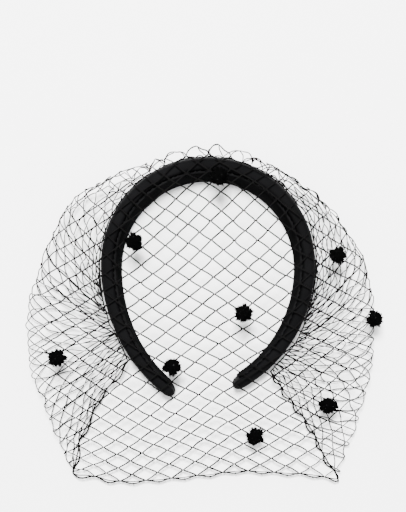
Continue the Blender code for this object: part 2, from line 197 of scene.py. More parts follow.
def cloth_tube(name, rings, alongs):
    """Closed cloth skin through like rings, with its weave laid out along and around it in metres."""
    count = len(rings[0])
    points = [point for ring in rings for point in ring]
    faces = []
    for k in range(len(rings) - 1):
        for m in range(count):
            turn = (m + 1) % count
            faces.append((k * count + m, k * count + turn, (k + 1) * count + turn, (k + 1) * count + m))
    for k in (0, len(rings) - 1):
        middle = len(points)
        points.append(sum(rings[k], Vector()) / count)
        for m in range(count):
            pair = (k * count + m, k * count + (m + 1) % count)
            faces.append((middle, *(pair[::-1] if k == 0 else pair)))
    around = []
    for ring in rings:
        lengths = [0.0]
        for m in range(count):
            lengths.append(lengths[-1] + (ring[(m + 1) % count] - ring[m]).length)
        around.append(lengths)
    mesh = bpy.data.meshes.new(name)
    mesh.from_pydata(points, [], faces)
    weave = mesh.uv_layers.new(name="weave")
    for face in mesh.polygons:
        spots = [mesh.loops[loop].vertex_index % count for loop in face.loop_indices]
        for loop in face.loop_indices:
            vertex = mesh.loops[loop].vertex_index
            ring, spot = divmod(vertex, count)
            if vertex >= len(rings) * count:
                ring, spot = (0, 0) if vertex == len(rings) * count else (len(rings) - 1, 0)
            closing = spot == 0 and count - 1 in spots
            weave.data[loop].uv = (alongs[ring], around[ring][count if closing else spot])
    mesh.shade_smooth()
    piece = bpy.data.objects.new(name, mesh)
    bpy.context.scene.collection.objects.link(piece)
    return piece


class Shade:
    """One output of a finish's nodes, so that sums and products of shades read as plain expressions."""

    MIX_SHARE, MIX_DARK, MIX_LIGHT, MIX_COLOUR = 0, 6, 7, 2

    def __init__(self, tree, socket):
        self.tree = tree
        self.socket = socket

    def node(self, kind, settings, sockets, output=0):
        """Add a node to the finish: its settings first, then the values or links of its sockets."""
        added = self.tree.nodes.new(kind)
        for name, value in settings.items():
            setattr(added, name, value)
        for name, value in sockets.items():
            if isinstance(value, Shade):
                self.tree.links.new(value.socket, added.inputs[name])
            else:
                added.inputs[name].default_value = value
        return Shade(self.tree, added.outputs[output])

    def noise(self, settings):
        """Noise over these places, with its scale and detail."""
        return self.node("ShaderNodeTexNoise", {}, {"Vector": self, **settings})

    def maths(self, operation, *values):
        return self.node("ShaderNodeMath", {"operation": operation}, dict(enumerate(values)))

    def __add__(self, other):
        return self.maths("ADD", self, other)

    def __mul__(self, other):
        return self.maths("MULTIPLY", self, other)

    __radd__ = __add__
    __rmul__ = __mul__

    def between(self, low, high):
        """0 below low, 1 above high, and smooth from one to the other."""
        sockets = {"Value": self, "From Min": low, "From Max": high}
        return self.node("ShaderNodeMapRange", {"interpolation_type": "SMOOTHSTEP"}, sockets)

    def tint(self, dark, light):
        """Colour that goes from dark to light as this shade goes from 0 to 1."""
        sockets = {self.MIX_SHARE: self, self.MIX_DARK: dark, self.MIX_LIGHT: light}
        return self.node("ShaderNodeMix", {"data_type": "RGBA"}, sockets, self.MIX_COLOUR)


class Finish:
    """Node-based finish of one cloth, thread or pile, worn by the pieces that it is given to."""

    def __init__(self, name, gloss):
        self.material = bpy.data.materials.new(name)
        self.material.use_nodes = True
        self.tree = self.material.node_tree
        self.shader = self.tree.nodes["Principled BSDF"]
        self.shader.inputs["Specular IOR Level"].default_value = gloss
        self.start = Shade(self.tree, None)

    def uv(self):
        """Places along and around the weave, in metres."""
        return self.start.node("ShaderNodeUVMap", {"uv_map": "weave"}, {})

    def spot(self):
        """Places on the piece, in metres."""
        return self.start.node("ShaderNodeTexCoord", {}, {}, output="Object")

    def give(self, socket, value):
        """Link a shade to a socket of the finish, or set a plain value there."""
        if isinstance(value, Shade):
            self.tree.links.new(value.socket, self.shader.inputs[socket])
        else:
            self.shader.inputs[socket].default_value = value

    def colour(self, value):
        self.give("Base Color", value)

    def roughness(self, value):
        self.give("Roughness", value)

    def relief(self, height, distance):
        sockets = {"Height": height, "Distance": distance, "Strength": 1.0}
        self.give("Normal", self.start.node("ShaderNodeBump", {}, sockets))

    def wear(self, piece):
        piece.data.materials.clear()
        piece.data.materials.append(self.material)


def satin(name, rib, dark, light, roughness, gloss):
    """Ribbed satin: fine ribs across its length, faint creases and a slightly uneven sheen."""
    cloth = Finish(name, gloss)
    place = cloth.uv()
    bands = {"wave_type": "BANDS", "bands_direction": "X", "wave_profile": "SIN"}
    wave = {"Vector": place, "Scale": BAND_SCALE / rib, **RIB_WANDER}
    ribs = place.node("ShaderNodeTexWave", bands, wave, output="Fac")
    slub = place.noise(SLUB_NOISE)
    crease = place.noise(CREASE_NOISE)
    patch = place.noise(PATCH_NOISE)
    lit = ribs * RIB_LIGHT + slub * SLUB_LIGHT + patch.between(*PATCH_RANGE) * PATCH_LIGHT
    cloth.colour(lit.tint(dark, light))
    cloth.roughness(roughness - EVEN_SHINE + patch * PATCH_DULLNESS + slub * SLUB_DULLNESS)
    cloth.relief(ribs * RIB_HEIGHT + slub * SLUB_HEIGHT + crease * CREASE_HEIGHT, SATIN_RELIEF)
    return cloth


# The one seed of every crease, ripple and crumple below
noise.seed_set(CRUMPLE_SEED)
profile = pad_section(SATIN_AROUND)
stations = band_stations(0.0, SATIN_STATIONS)
rings = [band_ring(side, along, end, profile, pad_thickness(along), 0.0) for side, along, end in stations]
band = cloth_tube("band_satin_cover", rings, [side * along for side, along, _ in stations])
corner = min(range(SATIN_AROUND), key=lambda k: profile[k][0] + 1.0 - profile[k][1])
normals = [vertex.normal.copy() for vertex in band.data.vertices]
for k, (side, along, end) in enumerate(stations):
    seam_spot = rings[k][corner]
    for m in range(SATIN_AROUND):
        vertex = band.data.vertices[k * SATIN_AROUND + m]
        near = math.exp(-(((vertex.co - seam_spot).length / PUCKER_REACH) ** 2))
        fold = noise.noise(Vector((side * along / PUCKER_PITCH, m * PUCKER_SLANT, 3.0)))
        swell = noise.noise(vertex.co * PAD_SWELL_SCALE)
        inward = PUCKER_DEPTH * near * (PUCKER_SHARE + fold) + PAD_UNEVENNESS * (0.5 + 0.5 * swell)
        if vertex.co.z > STILL_BACK:
            vertex.co -= normals[k * SATIN_AROUND + m] * inward
satin("band_satin", SATIN_RIB, SATIN_BLACK, SATIN_WORN, SATIN_ROUGHNESS, SATIN_GLOSS).wear(band)
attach(band, "root")
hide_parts("padded_band")

# Lining ribbon: a black satin ribbon, 1 mm thick with its turned edges, stretched round the band's inner
# face from tip to tip. It covers the cover's raw edges and stops just short of the band's own two edges.
LINING_THICKNESS = 1.0 * MM
FIT_GAP = 0.3 * MM
LINING_EDGE = 0.09
LINING_STATIONS = 150
LINING_ROWS = 14
LINING_RIPPLE = 0.10 * MM
LINING_RIPPLE_SCALE = 160.0
LINING_RIB = 0.50 * MM
LINING_BLACK = (0.0018, 0.0018, 0.0019, 1.0)
LINING_WORN = (0.0050, 0.0050, 0.0052, 1.0)
LINING_ROUGHNESS = 0.55
LINING_GLOSS = 0.0

lining_profile = []
for k in range(LINING_ROWS + 1):
    lining_profile.append((0.0, LINING_EDGE + (1.0 - 2 * LINING_EDGE) * k / LINING_ROWS))
lining_profile += [(1.0, up) for _, up in lining_profile[::-1]]
lining_stations = band_stations(TIP_ROUNDING, LINING_STATIONS)
lining_rings = []
for side, along, end in lining_stations:
    inset = pad_thickness(along) + FIT_GAP
    lining_rings.append(band_ring(side, along, end, lining_profile, LINING_THICKNESS, inset))
lining = cloth_tube("lining_satin_ribbon", lining_rings, [side * along for side, along, _ in lining_stations])
normals = [vertex.normal.copy() for vertex in lining.data.vertices]
for vertex, normal in zip(lining.data.vertices, normals):
    vertex.co -= normal * LINING_RIPPLE * (0.5 + 0.5 * noise.noise(vertex.co * LINING_RIPPLE_SCALE))
satin("lining_satin", LINING_RIB, LINING_BLACK, LINING_WORN, LINING_ROUGHNESS, LINING_GLOSS).wear(lining)
for k in range(len(lining_stations) - 1):
    ring, beyond = lining_rings[k], lining_rings[k + 1]
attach(lining, "root")
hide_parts("lining_ribbon")

# Seam: small slip stitches of black thread close the satin cover to the lining along the inner front edge,
# a stitch every 4 mm or so, each one sunk a little between the two cloths.
STITCH_PITCH = 4.4 * MM
STITCH_LENGTH = 2.6 * MM
STITCH_RADIUS = 0.26 * MM
STITCH_SLANT = 0.35 * MM
STITCH_LIFT = 0.15 * MM
STITCH_ARCH = 8.0
STITCH_SIDES = 6
STITCH_PARTS = (-0.5, -0.3, 0.0, 0.3, 0.5)
STITCH_STRAY = 0.12
STITCH_LENGTHS = (0.75, 1.1)
STITCH_SLANTS = (0.5, 1.3)
STITCH_SEED = 5
STITCH_GLOSS = 0.06
THREAD_BLACK = (0.0012, 0.0012, 0.0013, 1.0)
THREAD_GREY = (0.0030, 0.0030, 0.0032, 1.0)
THREAD_ASIDE = Vector((0.31, 0.52, 0.79))
THREAD_RELIEF = 0.05 * MM
THREAD_ROUGHNESS = 0.5
FIBRE_NOISE = {"Scale": 2600.0, "Detail": 2.0}
FIBRE_DULLNESS = 0.25
FADE_NOISE = {"Scale": 120.0, "Detail": 2.0}


def add_thread(points, faces, path, radii, sides, closed=True):
    """Add a round thread along a path to lists of points and faces."""
    first = len(points)
    tangent = (path[1] - path[0]).normalized()
    side = tangent.cross(THREAD_ASIDE).normalized()
    for k, spot in enumerate(path):
        tangent = (path[min(k + 1, len(path) - 1)] - path[max(k - 1, 0)]).normalized()
        side = (side - tangent * side.dot(tangent)).normalized()
        other = tangent.cross(side)
        for m in range(sides):
            angle = 2 * math.pi * m / sides
            points.append(spot + (side * math.cos(angle) + other * math.sin(angle)) * radii[k])
    for k in range(len(path) - 1):
        for m in range(sides):
            start, turn = first + k * sides, (m + 1) % sides
            faces.append((start + m, start + turn, start + sides + turn, start + sides + m))
    if closed:
        last = first + (len(path) - 1) * sides
        faces.append(tuple(first + m for m in reversed(range(sides))))
        faces.append(tuple(last + m for m in range(sides)))


def thread_piece(name, points, faces):
    """Object from a thread's points and faces, shaded smooth."""
    mesh = bpy.data.meshes.new(name)
    mesh.from_pydata(points, [], faces)
    mesh.shade_smooth()
    piece = bpy.data.objects.new(name, mesh)
    bpy.context.scene.collection.objects.link(piece)
    return piece


def spun_thread(name, dark, light, gloss):
    """Spun thread: fine fibres in relief, and a dull black colour that varies a little."""
    thread = Finish(name, gloss)
    place = thread.spot()
    fibre = place.noise(FIBRE_NOISE)
    fade = place.noise(FADE_NOISE)
    thread.colour((fibre * 0.5 + fade * 0.5).tint(dark, light))
    thread.roughness(THREAD_ROUGHNESS + fibre * FIBRE_DULLNESS)
    thread.relief(fibre, THREAD_RELIEF)
    return thread


points, faces = [], []
luck = random.Random(STITCH_SEED)
stitch_count = int((HALF_LENGTH - 2 * TIP_ROUNDING) / STITCH_PITCH)
for side in (LEFT, RIGHT):
    for k in range(stitch_count + 1):
        middle = STITCH_PITCH * (k + 0.5 + luck.uniform(-STITCH_STRAY, STITCH_STRAY))
        length = STITCH_LENGTH * luck.uniform(*STITCH_LENGTHS)
        slant = STITCH_SLANT * luck.uniform(*STITCH_SLANTS)
        path = []
        for part in STITCH_PARTS:
            along = middle + length * part
            lean = PAD_LEAN * column(BAND_SECTIONS, LEAN, along / HALF_LENGTH)
            inward = pad_thickness(along) + FIT_GAP + lean * LINING_EDGE + slant * 2 * part
            x, y = beside_band(side, along, -inward)
            arch = STITCH_LIFT * (1.0 - STITCH_ARCH * part * part)
            path.append(Vector((x, y, pad_depth(along) * (1.0 - LINING_EDGE) + arch)))
        add_thread(points, faces, path, [STITCH_RADIUS] * len(path), STITCH_SIDES)
seam = thread_piece("seam_stitches", points, faces)
spun_thread("stitch_thread", THREAD_BLACK, THREAD_GREY, STITCH_GLOSS).wear(seam)
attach(seam, "root")

# Veil: one rectangle of black knotted net with 10 mm diamond meshes. Its long top edge is sewn behind the
# crown, where a row of small loops stands up, and its two short ends are gathered to the band's outer sides.
# It is folded forward round both sides, over the band and down to a hem below the tips.
NET_WIDTH = 371.0 * MM
NET_COLUMNS = 21
NET_ROWS = 22
NET_BAR = 1.1 * MM
MIDDLE_DRIFT = 19.0 * MM
VEIL_OVERHANG = 53.2 * MM
VEIL_TAIL = 29.5 * MM
VEIL_LIFT = 2.6 * MM
CREST_RISE = 8.0 * MM
NET_SAG = 6.0 * MM
SEW_GAP = 0.55 * MM
GATHERS = {LEFT: (0.59, 0.81), RIGHT: (0.62, 0.875)}
SEW_HEIGHT = 0.60
GATHER_SPREAD = 0.5
GATHER_FAN = 2.0
BEND_LIMIT = 0.8
DRAPE_SLOPE = 0.42
DRAPE_SOFTNESS = 1.6 * MM
LARGEST_LEAD = 60.0
# Row, then the columns named below: mesh pitch, crest and height at the middle, left and right sag
VEIL_ROWS = (
    (0.00, 0.846, 0.00, 0.56, 0.00, 0.00),
    (0.06, 0.846, 0.00, 0.76, 0.00, 0.00),
    (0.08, 0.846, 0.30, 0.88, 0.00, 0.00),
    (0.10, 0.846, 0.30, 0.96, 0.00, 0.00),
    (0.12, 0.846, 0.40, 0.98, 0.00, 0.00),
    (0.16, 0.846, 0.05, 0.97, 0.50, -0.20),
    (0.22, 0.846, -0.10, 0.93, 0.95, -0.30),
    (0.32, 0.865, -0.35, 0.86, 0.85, 0.10),
    (0.44, 0.925, -0.45, 0.81, 0.70, 0.10),
    (0.56, 0.980, -0.25, 0.77, 0.70, 0.30),
    (0.68, 0.970, -0.30, 0.69, 0.85, 0.45),
    (0.80, 0.968, 0.05, 0.51, 0.80, 0.48),
    (0.90, 0.985, 0.30, 0.32, 0.68, 0.28),
    (1.00, 1.000, 0.33, 0.16, 0.75, 0.00),
)
PITCH, CREST, MIDDLE_HEIGHT, LEFT_SAG, RIGHT_SAG = range(1, 6)
LOOP_ROW = VEIL_ROWS[1][0]
# Row, then the columns named below: place along the band, shares of the overhang and tail, height, bend
FOLDS = {
    LEFT: (
        (LOOP_ROW, 0.000, 0.112, 0.00, 0.76, 0.23),
        (0.08, 0.065, 0.097, 0.00, 0.76, 0.23),
        (0.10, 0.123, 0.096, 0.00, 0.75, 0.23),
        (0.12, 0.175, 0.100, 0.00, 0.73, 0.23),
        (0.16, 0.255, 0.234, 0.00, 0.64, 0.26),
        (0.22, 0.338, 0.468, 0.00, 0.50, 0.29),
        (0.32, 0.440, 0.621, 0.00, 0.44, 0.32),
        (0.44, 0.544, 0.815, 0.00, 0.40, 0.32),
        (0.56, 0.641, 1.000, 0.07, 0.37, 0.31),
        (0.68, 0.730, 1.000, 0.30, 0.33, 0.27),
        (0.80, 0.826, 1.000, 0.54, 0.26, 0.21),
        (0.90, 0.888, 1.000, 0.76, 0.19, 0.14),
        (1.00, 0.935, 1.000, 0.94, 0.12, 0.07),
    ),
    RIGHT: (
        (LOOP_ROW, 0.000, 0.112, 0.00, 0.76, 0.23),
        (0.08, 0.067, 0.093, 0.00, 0.76, 0.23),
        (0.10, 0.115, 0.082, 0.00, 0.75, 0.23),
        (0.12, 0.159, 0.074, 0.00, 0.73, 0.23),
        (0.16, 0.222, 0.125, 0.00, 0.64, 0.26),
        (0.22, 0.308, 0.222, 0.00, 0.50, 0.29),
        (0.32, 0.424, 0.407, 0.00, 0.44, 0.32),
        (0.44, 0.529, 0.652, 0.00, 0.40, 0.32),
        (0.56, 0.624, 0.826, 0.00, 0.37, 0.31),
        (0.68, 0.697, 0.973, 0.00, 0.33, 0.27),
        (0.80, 0.782, 1.000, 0.29, 0.26, 0.21),
        (0.90, 0.853, 1.000, 0.63, 0.19, 0.14),
        (1.00, 0.914, 1.000, 1.16, 0.12, 0.07),
    ),
}
ALONG, OVERHANG, TAIL, FOLD_HEIGHT, BEND = range(1, 6)
NET_SEED = 11
STRAND_RADIUS = 0.54 * MM
STRAND_STOUTNESS = (0.92, 1.08)
STRAND_SIDES = 5
STRAND_SAMPLES = 12
STRAND_TOLERANCE = 0.06 * MM
STRAND_SLACK = 0.28 * MM
BACK_SLACK = 1.5
CRUMPLE = 2.2 * MM
CRUMPLE_SCALE = 48.0
TANGLE = 0.8 * MM
TANGLE_SCALE = 130.0
FRONT_CRUMPLE = 0.12
SLACK_REACH = 0.10
BACK_THINNING = 0.34
STRAND_TAPER = 0.50
TAPER_SAMPLES = 2
SEWN_OFF = 0.5 * MM
TUCK_REACH = 5.0 * MM
TUCK_DEPTH = 0.65 * MM
LOOP_REACH = 6.4 * MM
LOOP_SHIFT = 2.6 * MM
LOOP_UNEVENNESS = 0.5
TUCK_DROP = 9.0 * MM
HEM_DROP = 2.7 * MM
HEM_DROP_X = -58.0 * MM
HEM_DROP_REACH = 30.0 * MM
HEM_DROP_ROWS = 0.2
LOOP_TOP = 4 / (2 * NET_ROWS)
LOOP_NEAR = 0.16
LOOP_FAR = 0.36
FLOOR_CLEARANCE = 0.9 * MM
BAND_CLEARANCE = 0.5 * MM
KNOT_LENGTH = 3.0 * MM
KNOT_LENGTHS = (0.8, 1.15)
KNOT_RADIUS = 0.34 * MM
KNOT_SIDES = 6
# Place along a knot and share of its radius
KNOT_SPINDLE = ((-0.5, 0.45), (-0.28, 1.0), (0.28, 1.0), (0.5, 0.45))
STEP = 0.002
NET_GLOSS = 0.0
NET_BLACK = (0.0012, 0.0012, 0.0012, 1.0)
NET_GREY = (0.0044, 0.0043, 0.0043, 1.0)


def outward(side, along):
    """Direction that stands square off the outer outline at a place along it."""
    quarter = CROWN_RADIUS * math.pi / 2
    angle = along / CROWN_RADIUS
    if along > quarter:
        angle = math.pi / 2 + (along - quarter) / ARM_RADIUS[side]
    return side * math.sin(angle), math.cos(angle)


def from_band(x, y):
    """Side, place along and standoff of a point, the inverse of beside_band."""
    side = LEFT if x < CROWN_X else RIGHT
    across = abs(x - CROWN_X)
    down = CROWN_Y - y
    if down <= 0:
        return side, CROWN_RADIUS * math.atan2(across, -down), math.hypot(across, down) - CROWN_RADIUS
    radius = ARM_RADIUS[side]
    shifted = across + radius - CROWN_RADIUS
    along = CROWN_RADIUS * math.pi / 2 + radius * math.atan2(down, shifted)
    return side, along, math.hypot(shifted, down) - radius


def drape_height(x, y):
    """Height at which the net lies over the band's front edge, sloping away on both sides."""
    _, along, standoff = from_band(x, y)
    beside = max(0.0, standoff, -pad_thickness(along) - standoff)
    beyond = max(0.0, along - HALF_LENGTH)
    return pad_depth(along) + VEIL_LIFT - DRAPE_SLOPE * math.hypot(beside, beyond)


def soft_max(low, high):
    """The larger of two heights, with a rounded change from one to the other."""
    lead = (high - low) / DRAPE_SOFTNESS
    return low + DRAPE_SOFTNESS * math.log1p(math.exp(min(lead, LARGEST_LEAD)))


def bend_travel(travel, bend):
    """Plan distance and rise after some travel round a fold of this radius."""
    if travel >= bend * math.pi / 2:
        return bend + travel - bend * math.pi / 2, bend
    return bend * (1.0 - math.cos(travel / bend)), bend * math.sin(travel / bend)


def fold_beside(side, along):
    """Standoff, height and bend radius of the fold beside a place along the band."""
    place = along / HALF_LENGTH
    columns = (OVERHANG, TAIL, FOLD_HEIGHT, BEND)
    over, tail, height, bend = (column(FOLDS[side], index, place, key=ALONG) for index in columns)
    reach = VEIL_OVERHANG * over + VEIL_TAIL * tail
    top = PAD_DEPTH + VEIL_LIFT
    return SEW_GAP + NET_BAR / 2 + reach, top * height, top * bend


def front_point(side, ends, row, fold_along, fold_share):
    """Point of the front layer, on a level row between the fold and the net's middle."""
    crossings = []
    for each in (LEFT, RIGHT):
        along = HALF_LENGTH * column(FOLDS[each], ALONG, row)
        crossings.append(beside_band(each, along, fold_beside(each, along)[0]))
    fold_x, fold_y = crossings[0] if side == LEFT else crossings[1]
    middle_x = CROWN_X + MIDDLE_DRIFT * row ** 2
    middle_y = (crossings[0][1] + crossings[1][1]) / 2 + CREST_RISE * column(VEIL_ROWS, CREST, row)
    bend = fold_beside(side, fold_along)[2] * abs(outward(side, fold_along)[0])
    half = abs(middle_x - fold_x)
    travel = (half + (math.pi / 2 - 1.0) * bend) * (ends - fold_share) / (0.5 - fold_share)
    part = min(bend_travel(travel, bend)[0] / half, 1.0)
    x = fold_x + (middle_x - fold_x) * part
    sag = NET_SAG * column(VEIL_ROWS, LEFT_SAG if side == LEFT else RIGHT_SAG, row)
    y = fold_y + (middle_y - fold_y) * math.sin(part * math.pi / 2) - sag * math.sin(part * math.pi)
    _, along, standoff = from_band(x, y)
    edge_off, edge_z, edge_bend = fold_beside(side, min(along, HALF_LENGTH))
    inside = max(edge_bend - max(edge_off - standoff, 0.0), 0.0)
    rise = math.sqrt(edge_bend ** 2 - inside ** 2)
    middle_z = (PAD_DEPTH + VEIL_LIFT) * column(VEIL_ROWS, MIDDLE_HEIGHT, row)
    z = edge_z + rise + (middle_z - edge_z - edge_bend) * (1.0 - (1.0 - part) ** 2)
    draped = soft_max(z, drape_height(x, y))
    return Vector((x, y, z + (draped - z) * rise / edge_bend))


def back_point(side, across, row, fold_along):
    """Point of the back layer: across it from the gather to the fold, on a row that fans out."""
    start, end = GATHERS[side]
    sewn_along = HALF_LENGTH * (start + (end - start) * row)
    along = sewn_along + (fold_along - sewn_along) * across
    fold_off, fold_z, bend = fold_beside(side, along)
    fan = 1.0 + GATHER_FAN * max(0.0, 1.0 - row / GATHER_SPREAD)
    reached = row / column(FOLDS[side], 0, along / HALF_LENGTH, key=ALONG)
    out = min(reached * (1.0 - (1.0 - across) ** fan), 1.0)
    sewn_off = SEW_GAP + NET_BAR / 2
    depth = fold_off - sewn_off
    bend = min(bend, BEND_LIMIT * depth)
    plan, rise = bend_travel((depth + (math.pi / 2 - 1.0) * bend) * (1.0 - out), bend)
    x, y = beside_band(side, along, fold_off - plan)
    low = fold_z - bend
    return Vector((x, y, low + (SEW_HEIGHT * pad_depth(along) - low) * (1.0 - out) ** 2 + bend - rise))


def fold_place(side, row):
    """Where a row turns over at one side: place along the band, and share of the net's width."""
    if row <= LOOP_ROW:
        return 0.0, 0.5
    fold_along = HALF_LENGTH * column(FOLDS[side], ALONG, row)
    fold_off, _, bend = fold_beside(side, fold_along)
    middle_x = CROWN_X + MIDDLE_DRIFT * row ** 2
    half = abs(middle_x - beside_band(side, fold_along, fold_off)[0])
    spare = (math.pi / 2 - 1.0) * bend * abs(outward(side, fold_along)[0])
    return fold_along, 0.5 - (half + spare) / (NET_WIDTH * column(VEIL_ROWS, PITCH, row))


def veil_point(share, row):
    """Point of the veil: share across it from its left end to its right, row from sewn edge to hem."""
    side = LEFT if share < 0.5 else RIGHT
    ends = min(share, 1.0 - share)
    fold_along, fold_share = fold_place(side, row)
    if row > LOOP_ROW and ends >= fold_share:
        return front_point(side, ends, row, fold_along, fold_share)
    return back_point(side, ends / fold_share, row, fold_along)


def looseness(share, row):
    """How slack the net is: next to nothing over the front, all of it in the back layer."""
    _, fold_share = fold_place(LEFT if share < 0.5 else RIGHT, row)
    return min(max(1.0 - (min(share, 1.0 - share) - fold_share) / SLACK_REACH, 0.0), 1.0)


def crown_loop(side, along, standoff, row):
    """Place along, standoff and drop of the crown's loops and of the rows tucked in below them."""
    steps = abs(row - LOOP_TOP) * 2 * NET_ROWS
    if row >= LOOP_TOP and steps >= 1.0:
        return along, standoff, 0.0
    uneven = 1.0 + LOOP_UNEVENNESS * noise.noise(Vector((side * along * TANGLE_SCALE, 0.0, 0.0)))
    loop = SEWN_OFF + LOOP_REACH * uneven * math.sqrt(max(1.0 - steps, 0.0))
    far = min(max((along / HALF_LENGTH - LOOP_NEAR) / (LOOP_FAR - LOOP_NEAR), 0.0), 1.0)
    tucked = min(steps, 1.0) if row < LOOP_TOP else 0.0
    shifted = abs(along - side * LOOP_SHIFT * tucked * (1.0 - far))
    return shifted, loop + (standoff - loop) * far, TUCK_DROP * tucked * (1.0 - far)


def clear_of_band(point, side, along, standoff):
    """The point, moved up or out of the padded band where it would lie inside it."""
    thickness = pad_thickness(along)
    top = pad_depth(along) + BAND_CLEARANCE
    if not -thickness < standoff < BAND_CLEARANCE or point.z >= top:
        return point
    if standoff < -thickness / 2 or point.z > top - 3 * BAND_CLEARANCE:
        return Vector((point.x, point.y, top))
    return Vector((*beside_band(side, along, BAND_CLEARANCE), point.z))


def laid_point(share, row):
    """Point of the veil as it lies: the smooth shape with the slight crumpling of real net."""
    point = veil_point(share, row)
    loose = FRONT_CRUMPLE + (1.0 - FRONT_CRUMPLE) * looseness(share, row)
    crumple = noise.noise_vector(point * CRUMPLE_SCALE) * CRUMPLE
    tangle = noise.noise_vector(point * TANGLE_SCALE) * TANGLE
    point += (crumple + tangle) * loose
    side, along, standoff = from_band(point.x, point.y)
    if 0.0 < standoff < TUCK_REACH:
        standoff -= TUCK_DEPTH * (1.0 - standoff / TUCK_REACH)
    along, standoff, drop = crown_loop(side, along, standoff, row)
    point.z -= drop
    if along < HALF_LENGTH:
        point.x, point.y = beside_band(side, along, standoff)
        point = clear_of_band(point, side, along, standoff)
    near_hem = max(0.0, 1.0 - (1.0 - row) / HEM_DROP_ROWS)
    near_end = math.exp(-(((point.x - HEM_DROP_X) / HEM_DROP_REACH) ** 2))
    point.y -= HEM_DROP * (near_hem * near_end)
    point.z = max(point.z, FLOOR_CLEARANCE)
    return point


def strand_path(start, end, slack):
    """Path of one strand between two knots, with only the points that its bends need."""
    path = []
    for k in range(STRAND_SAMPLES + 1):
        part = k / STRAND_SAMPLES
        path.append(laid_point(*(low + (high - low) * part for low, high in zip(start, end))))
    chord = (path[-1] - path[0]).normalized()
    side = chord.cross(Vector((0.0, 0.0, 1.0)))
    for k, spot in enumerate(path):
        spot += side * slack * math.sin(math.pi * k / STRAND_SAMPLES)

    def corners(low, high):
        if high - low < 2:
            return []
        line = (path[high] - path[low]).normalized()
        strays = [(path[k] - path[low]).cross(line).length for k in range(low + 1, high)]
        if max(strays) < STRAND_TOLERANCE:
            return []
        worst = low + 1 + strays.index(max(strays))
        return corners(low, worst) + [worst] + corners(worst, high)

    tapers = (TAPER_SAMPLES, STRAND_SAMPLES - TAPER_SAMPLES)
    kept = {0, *tapers, STRAND_SAMPLES, *corners(0, STRAND_SAMPLES)}
    return [path[k] for k in sorted(kept)]


def add_knot(points, faces, place, length, radius):
    """Add a knot: a small spindle of thread that lies across the net."""
    share, row = place
    here = laid_point(share, row)
    across = laid_point(min(share + STEP, 1.0), row) - laid_point(max(share - STEP, 0.0), row)
    across = across.normalized() if across.length > 0 else Vector((1.0, 0.0, 0.0))
    path = [here + across * length * part for part, _ in KNOT_SPINDLE]
    add_thread(points, faces, path, [radius * stout for _, stout in KNOT_SPINDLE], KNOT_SIDES)


points, faces = [], []
luck = random.Random(NET_SEED)
knots = {}
for i in range(2 * NET_COLUMNS + 1):
    for j in range(2 * NET_ROWS + 1):
        if (i + j) % 2 == 0:
            knots[i, j] = (i / (2 * NET_COLUMNS), j / (2 * NET_ROWS))
for (i, j), place in knots.items():
    fine = 1.0 - BACK_THINNING * looseness(*place)
    add_knot(points, faces, place, KNOT_LENGTH * fine * luck.uniform(*KNOT_LENGTHS), KNOT_RADIUS * fine)
    for way in (-1, 1):
        if (i + way, j + 1) not in knots:
            continue
        slack = luck.gauss(0.0, STRAND_SLACK) * (1.0 + BACK_SLACK * looseness(*place))
        path = strand_path(place, knots[i + way, j + 1], slack)
        radius = STRAND_RADIUS * luck.uniform(*STRAND_STOUTNESS) * fine
        end = radius * STRAND_TAPER
        radii = [end] + [radius] * (len(path) - 2) + [end]
        add_thread(points, faces, path, radii, STRAND_SIDES, closed=False)
veil = thread_piece("veil_net_strands", points, faces)
net_thread = spun_thread("veil_thread", NET_BLACK, NET_GREY, NET_GLOSS)
net_thread.wear(veil)

# Veil edges: a doubled thread runs along the hem, one thread nearly straight and one that dips below each
# mesh, with a small knot at the dip. A single thread of the same kind runs along both short ends and the
# sewn edge.
HEM_RADIUS = 0.46 * MM
HEM_DIP = 1.8 * MM
HEM_LOOSENESS = 0.5
HEM_GATHERING = 0.25
HEM_SAMPLES = 8
# Share of the dip and share of the radius of each thread along the hem
HEM_THREADS = ((0.2, 0.75), (1.0, 1.0))
HEM_KNOT_LENGTH = 1.3 * MM
HEM_KNOT_STOUTNESS = 1.6

points, faces = [], []
for i in range(0, 2 * NET_COLUMNS, 2):
    (start, row), (end, _) = knots[i, 2 * NET_ROWS], knots[i + 2, 2 * NET_ROWS]
    loose = looseness(start, row)
    dip = HEM_DIP * (1.0 + HEM_LOOSENESS * loose)
    for depth, stoutness in HEM_THREADS:
        path = []
        for k in range(HEM_SAMPLES + 1):
            part = k / HEM_SAMPLES
            spot = laid_point(start + (end - start) * part, row)
            above = laid_point(start + (end - start) * part, row - 4 * STEP)
            path.append(spot + (spot - above).normalized() * dip * depth * math.sin(math.pi * part) ** 2)
        radius = stoutness * (HEM_RADIUS * (1.0 + HEM_GATHERING * loose))
        add_thread(points, faces, path, [radius] * len(path), STRAND_SIDES)
    before, middle, after = path[HEM_SAMPLES // 2 - 1:HEM_SAMPLES // 2 + 2]
    reach = (after - before).normalized() * HEM_KNOT_LENGTH / 2
    radii = [HEM_RADIUS, HEM_KNOT_STOUTNESS * HEM_RADIUS, HEM_RADIUS]
    add_thread(points, faces, [middle - reach, middle, middle + reach], radii, KNOT_SIDES)
edge_pairs = [((i, j), (i, j + 2)) for i in (0, 2 * NET_COLUMNS) for j in range(0, 2 * NET_ROWS, 2)]
edge_pairs += [((i, 0), (i + 2, 0)) for i in range(0, 2 * NET_COLUMNS, 2)]
for start, end in edge_pairs:
    path = strand_path(knots[start], knots[end], 0.0)
    add_thread(points, faces, path, [HEM_RADIUS] * len(path), STRAND_SIDES)
edges = thread_piece("veil_edge_threads", points, faces)
net_thread.wear(edges)
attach(edges, "root")
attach(veil, "root")
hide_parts("veil_net")

